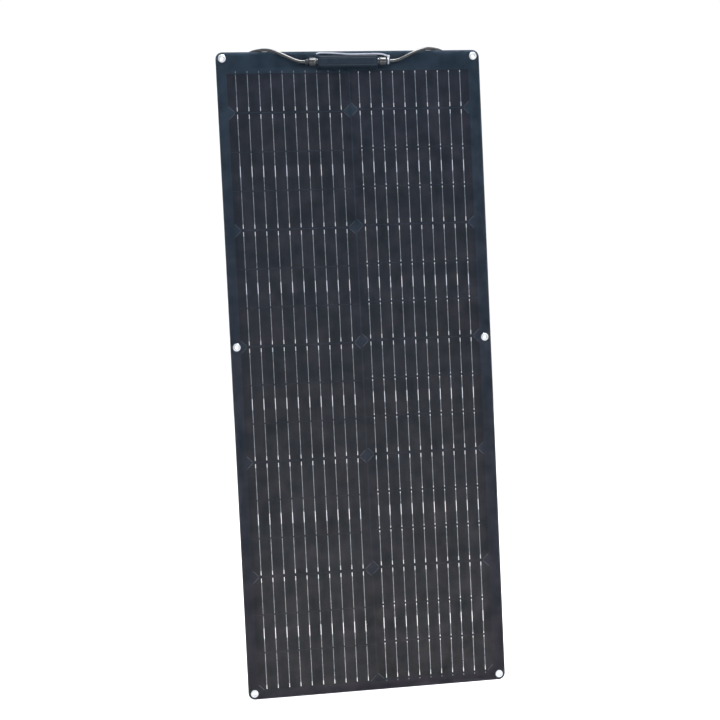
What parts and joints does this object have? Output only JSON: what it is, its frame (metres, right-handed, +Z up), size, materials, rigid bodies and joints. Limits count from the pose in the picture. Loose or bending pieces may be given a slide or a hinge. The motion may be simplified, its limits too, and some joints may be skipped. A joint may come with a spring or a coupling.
{
  "type": "flexible solar sheet",
  "caption": "Thin flexible solar laminate with eyelets, a low junction box and two coiled cables with connectors.",
  "frame": {"origin": "midway between the two top eyelets, on the back plane of the sheet", "axes": "+Z up the sheet's long side, +Y out of the back, +X to the right seen from the front"},
  "size_m": [0.42, 0.038, 1.0336],
  "materials": {
    "film": "matt transparent fluoropolymer film",
    "encapsulant": "clear encapsulant",
    "cell": "textured dark silicon",
    "ribbon": "tinned copper",
    "black_bus": "black coated copper",
    "board": "black fibreglass laminate",
    "eyelet": "bright nickel plate",
    "washer": "zinc plate",
    "box": "moulded black plastic, fine texture",
    "nut": "moulded black nylon",
    "seal": "black rubber",
    "bond": "black sealant pad",
    "terminal": "turned brass",
    "diode": "moulded epoxy",
    "tie": "natural nylon",
    "cable": "black cross-linked jacket",
    "contact": "tin plated copper"
  },
  "bodies": {
    "band_1": {"front_film_1": "film", "front_encapsulant_1": "encapsulant", "cells_1": "cell", "ribbons_1": "ribbon", "rear_encapsulant_1": "encapsulant", "back_board_1": "board", "bus_ribbons_top": "black_bus", "eyelets_top": "eyelet", "washers_top": "washer", "box_bond": "bond", "box_base": "box", "box_gasket": "seal", "terminal_left": "terminal", "terminal_right": "terminal", "bypass_diode": "diode", "gland_body_left": "nut", "gland_body_right": "nut", "gland_lock_nuts": "nut", "gland_seal_left": "seal", "gland_seal_right": "seal", "cable_tie": "tie", "cord_left": "cable", "cord_right": "cable", "coil_left": "cable", "coil_right": "cable", "coil_tie_left": "tie", "coil_tie_right": "tie", "connector_body_left": "nut", "connector_body_right": "nut", "connector_contact_left": "contact", "connector_contact_right": "contact"},
    "band_2": {"front_film_2": "film", "front_encapsulant_2": "encapsulant", "cells_2": "cell", "ribbons_2": "ribbon", "rear_encapsulant_2": "encapsulant", "back_board_2": "board", "eyelets_middle": "eyelet", "washers_middle": "washer"},
    "band_3": {"front_film_3": "film", "front_encapsulant_3": "encapsulant", "cells_3": "cell", "ribbons_3": "ribbon", "rear_encapsulant_3": "encapsulant", "back_board_3": "board"},
    "band_4": {"front_film_4": "film", "front_encapsulant_4": "encapsulant", "cells_4": "cell", "ribbons_4": "ribbon", "rear_encapsulant_4": "encapsulant", "back_board_4": "board", "eyelets_bottom": "eyelet", "washers_bottom": "washer", "bus_ribbon_bottom": "black_bus"},
    "lid": {"box_lid": "box"},
    "gland_nut_left": {"gland_nut_left": "nut"},
    "gland_nut_right": {"gland_nut_right": "nut"},
    "connector_nut_left": {"connector_nut_left": "nut"},
    "connector_nut_right": {"connector_nut_right": "nut"}
  },
  "joints": [
    {"name": "bend_1", "type": "hinge", "parent": "band_1", "child": "band_2", "pos_m": [0, -0.00125, -0.26745], "axis": [1, 0, 0], "range_deg": [-10, 10], "stiffness_Nm_per_rad": 20},
    {"name": "bend_2", "type": "hinge", "parent": "band_2", "child": "band_3", "pos_m": [0, -0.00125, -0.51285], "axis": [1, 0, 0], "range_deg": [-10, 10], "stiffness_Nm_per_rad": 20},
    {"name": "bend_3", "type": "hinge", "parent": "band_3", "child": "band_4", "pos_m": [0, -0.00125, -0.75805], "axis": [1, 0, 0], "range_deg": [-10, 10], "stiffness_Nm_per_rad": 20},
    {"name": "lid_off", "type": "slide", "parent": "band_1", "child": "lid", "axis": [0, -1, 0], "range_m": [0, 0.03]},
    {"name": "gland_nut_left_turn", "type": "hinge", "parent": "band_1", "child": "gland_nut_left", "pos_m": [-0.0505, -0.0091, -0.0085], "axis": [-1, 0, 0], "range_deg": [0, 90]},
    {"name": "gland_nut_right_turn", "type": "hinge", "parent": "band_1", "child": "gland_nut_right", "pos_m": [0.0445, -0.0091, -0.0085], "axis": [1, 0, 0], "range_deg": [0, 90]},
    {"name": "connector_nut_left_turn", "type": "hinge", "parent": "band_1", "child": "connector_nut_left", "pos_m": [-0.183, 0.0109, -0.1045], "axis": [0, 0, 1], "range_deg": [0, 90]},
    {"name": "connector_nut_right_turn", "type": "hinge", "parent": "band_1", "child": "connector_nut_right", "pos_m": [0.177, 0.0109, -0.1045], "axis": [0, 0, 1], "range_deg": [0, 90]}
  ]
}
